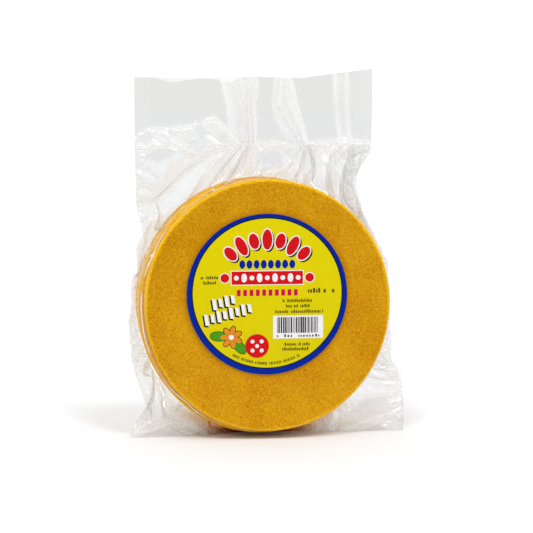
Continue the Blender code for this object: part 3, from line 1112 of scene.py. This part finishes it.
BAND_UP = 8.4
BAND_HALF = 18.0
for ink, grow in ((white, 0.45), (red, 0.0)):
    ink.block(0, BAND_UP, 2 * (BAND_HALF + grow), 6.6 + 2 * grow)
    for side in (-1, 1):
        ink.petal(side * (BAND_HALF + 3.4), BAND_UP, 4.4, 4.4, 0.0, grow, point=1.0)
for number in range(9):
    x = (BAND_HALF - 2.4) * (number / 4 - 1)
    if number % 2:
        white_over.petal(x, BAND_UP, 4.4, 2.8, math.pi / 2, point=0.9)
    else:
        white_over.disc(x, BAND_UP, 1.2)
for number in range(10):
    magenta.block(-14.4 + 3.2 * number, 0.9, 1.9, 3.2)

# %% [markdown]
# Lines of small print are only rows of short bars here, because the label carries no
# words. `row_of_bars` draws a row between two places with bars of uneven width and an
# occasional wider gap, so that it has the grey tone of a line of type. The stripes in the
# white box are uneven in the same way.

# %% Rows of bars
bar_draw = np.random.default_rng(11)


def row_of_bars(ink, left, right, up, height, pitch=0.85, fill=0.68, gap_share=0.12,
                turn=0.0):
    """Bars of uneven width from left to right, centred on a line."""
    x = left
    while x < right:
        width = pitch * bar_draw.uniform(0.7, 1.3)
        if bar_draw.random() > gap_share:
            tall = height * bar_draw.choice((0.72, 0.72, 1.0))
            rise = (x - left) * math.tan(turn)
            ink.block(x + width / 2, up + rise - (height - tall) / 2, width * fill, tall, turn)
        x += width


row_of_bars(small_print, -33.6, -25.0, 8.8, 1.6, pitch=1.0)
row_of_bars(small_print, -32.4, -26.2, 6.2, 1.6, pitch=1.0)
row_of_bars(small_print, 20.4, 32.6, 1.8, 2.4, pitch=1.5)
row_of_bars(small_print, 7.6, 22.4, -3.2, 1.7)
row_of_bars(small_print, 9.2, 20.8, -5.9, 1.7)
row_of_bars(small_print, 3.9, 29.2, -8.7, 1.7)
row_of_bars(small_print, 8.6, 22.2, -25.3, 1.6)
row_of_bars(small_print, 7.4, 20.4, -27.7, 1.7)
for number in range(44):
    angle = 240 + number * 1.32
    if number % 9 != 5:
        width = bar_draw.uniform(0.6, 1.0)
        small_print.bow(0, 0, 34.9, angle, angle + width, -0.7, 0.7, steps=2)

BOX_CENTRE = Vector((15.6, -16.6))
white.block(*BOX_CENTRE, 25.4, 11.6)
stripe = BOX_CENTRE.x - 10.6
while stripe < BOX_CENTRE.x + 10.4:
    width = bar_draw.choice((0.24, 0.24, 0.46, 0.7))
    black_over.block(stripe + width / 2, BOX_CENTRE.y + 1.0, width, 8.0)
    stripe += width + bar_draw.choice((0.24, 0.34, 0.5))
row_of_bars(black_over, BOX_CENTRE.x - 11.0, BOX_CENTRE.x + 10.6, BOX_CENTRE.y - 4.4, 1.3,
            pitch=1.35, fill=0.5)

# %% Slanted bars, a flower and a dotted disc
SLOPE = math.radians(15.0)
for count, left, foot in ((8, -30.6, -12.6), (4, -26.6, -4.8)):
    for number in range(count):
        x = left + number * 3.1
        up = foot + number * 3.1 * math.tan(SLOPE)
        tall = 4.0 if number % 2 else 5.4
        black.block(x - 0.55, up - 0.6, 2.3, tall + 0.3, turn=-SLOPE / 2, slant=-0.3)
        white.block(x, up, 1.9, tall, turn=-SLOPE / 2, slant=-0.3)

FLOWER = Vector((-18.2, -21.4))
for turn in (-50, 175):
    reach = Vector((math.cos(math.radians(turn)), math.sin(math.radians(turn)))) * 6.4
    for ink, grow in ((black, 0.28), (green, 0.0)):
        ink.petal(FLOWER.x + reach.x, FLOWER.y + reach.y, 8.4, 4.6, math.radians(turn),
                  grow, point=0.9)
for number in range(7):
    turn = 2 * math.pi * (number + 0.5) / 7
    x = FLOWER.x + 3.3 * math.cos(turn)
    up = FLOWER.y + 3.3 * math.sin(turn)
    black.petal(x, up, 4.8, 2.7, turn, grow=0.25, point=0.8)
    orange.petal(x, up, 4.6, 2.5, turn, point=0.8)
white_over.disc(*FLOWER, 1.3, segments=24)

DISC_CENTRE = Vector((-5.2, -26.0))
red.disc(*DISC_CENTRE, 6.0, segments=64)
for side_x, side_up in ((-1, 1), (1, 1), (0, 0), (-1, -1), (1, -1)):
    white_over.disc(DISC_CENTRE.x + 2.3 * side_x, DISC_CENTRE.y + 2.3 * side_up, 1.0)

prints = [ink.finish() for ink in (blue, black, magenta, small_print, white, green, red,
                                   orange, white_over, black_over)]

# %% [markdown]
# ## Table and light
# The pack stands on a plain white table in a white tent. Clear film mirrors what is in
# front of it, and only a dark space there lets flat film look grey on white. So the table
# ends just in front of the pack, and the tent has a dark opening there. Film turned to
# the side mirrors the white tent and stays soft, and two lamps high in front light the
# cakes and flash in the creases.

# %% Lay the table
TABLE_FRONT = -0.31
TABLE_DEPTH = 24.0


def add_table():
    bm = bmesh.new()
    bmesh.ops.create_grid(bm, x_segments=1, y_segments=1, size=TABLE_DEPTH / 2)
    bmesh.ops.translate(bm, verts=bm.verts, vec=(0.0, TABLE_FRONT + TABLE_DEPTH / 2, 0.0))
    mesh = bpy.data.meshes.new("table")
    bm.to_mesh(mesh)
    bm.free()
    table = bpy.data.objects.new("table", mesh)
    bpy.context.scene.collection.objects.link(table)
    finish = Finish("white_table")
    shader = finish.node("ShaderNodeBsdfDiffuse", {}, {"Color": (0.80, 0.815, 0.83, 1.0)})
    mesh.materials.append(finish.surface(shader))
    return table


table = add_table()

# %% Set up the lamps
LAMP_DISTANCE = 3.0


def add_lamp(name, side, height, spread, power):
    """A soft lamp far away in front, at angles in degrees to one side and upwards."""
    data = bpy.data.lights.new(name, "SUN")
    data.energy = power
    data.angle = math.radians(spread)
    lamp = bpy.data.objects.new(name, data)
    side, height = math.radians(side), math.radians(height)
    towards = Vector((math.sin(side) * math.cos(height), -math.cos(side) * math.cos(height),
                      math.sin(height)))
    lamp.rotation_euler = towards.to_track_quat("Z", "Y").to_euler()
    lamp.location = towards * LAMP_DISTANCE
    bpy.context.scene.collection.objects.link(lamp)
    return lamp


lamps = [add_lamp("left_lamp", -30, 55, 12, 0.8), add_lamp("right_lamp", 30, 55, 12, 0.8)]

# %% Light the room
DARK_AHEAD = 0.08
TENT_WHITE = 1.3
TENT_TOP = 0.6
BACKDROP = 1.087


def light_room():
    """A white tent with a grey top and a dark opening straight in front of the pack."""
    room = Finish("studio", "worlds", "ShaderNodeOutputWorld")
    split = room.node("ShaderNodeSeparateXYZ", {},
                      {0: room.node("ShaderNodeTexCoord", output="Generated")})
    top = room.ramp(split.other("Z"), 0.4, 0.85, 1.0, TENT_TOP)
    strength = room.ramp(split.other("Y"), -0.97, -0.6, DARK_AHEAD, TENT_WHITE) * top
    light = room.node("ShaderNodeBackground", {},
                      {"Color": (1.0, 1.0, 1.0, 1.0), "Strength": strength})
    plain = room.node("ShaderNodeBackground", {},
                      {"Color": (0.988, 1.0, 1.01, 1.0), "Strength": BACKDROP})
    seen = room.node("ShaderNodeLightPath", output="Is Camera Ray")
    bpy.context.scene.world = room.surface(
        room.node("ShaderNodeMixShader", {}, {0: seen, 1: light, 2: plain}))
    return bpy.context.scene.world


light_room()
bpy.context.scene.view_settings.view_transform = "Standard"
